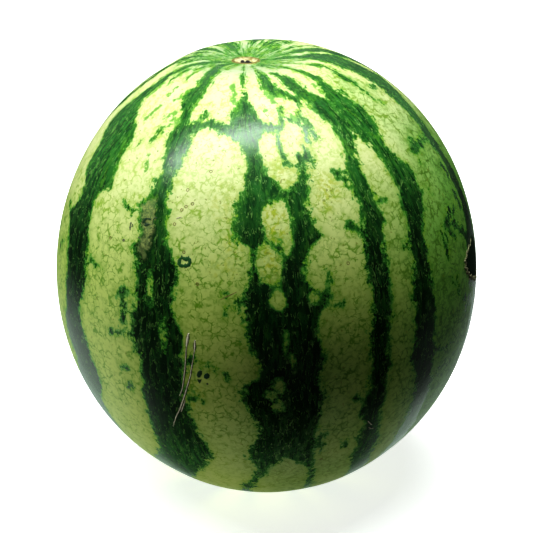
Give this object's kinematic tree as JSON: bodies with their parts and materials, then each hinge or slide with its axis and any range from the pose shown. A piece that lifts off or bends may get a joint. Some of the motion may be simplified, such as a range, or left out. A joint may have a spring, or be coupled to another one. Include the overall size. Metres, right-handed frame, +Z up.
{
  "type": "watermelon",
  "caption": "Whole ripe striped watermelon standing on its end, with wavy dark green bands on a light green rind and a small corky scar on its crown.",
  "frame": {"origin": "centre of the small flat spot that the fruit rests on", "axes": "+Z up along the fruit from its foot to its crown, -Y towards the side that shows most of the scratches, the crown scar leaning to -X"},
  "size_m": [0.2498, 0.25, 0.2667],
  "materials": {
    "rind": "smooth waxy plant rind with a satin gloss, light green with ragged dark green lengthways bands and fine green veins"
  },
  "bodies": {
    "root": {"watermelon": "rind"}
  },
  "joints": []
}
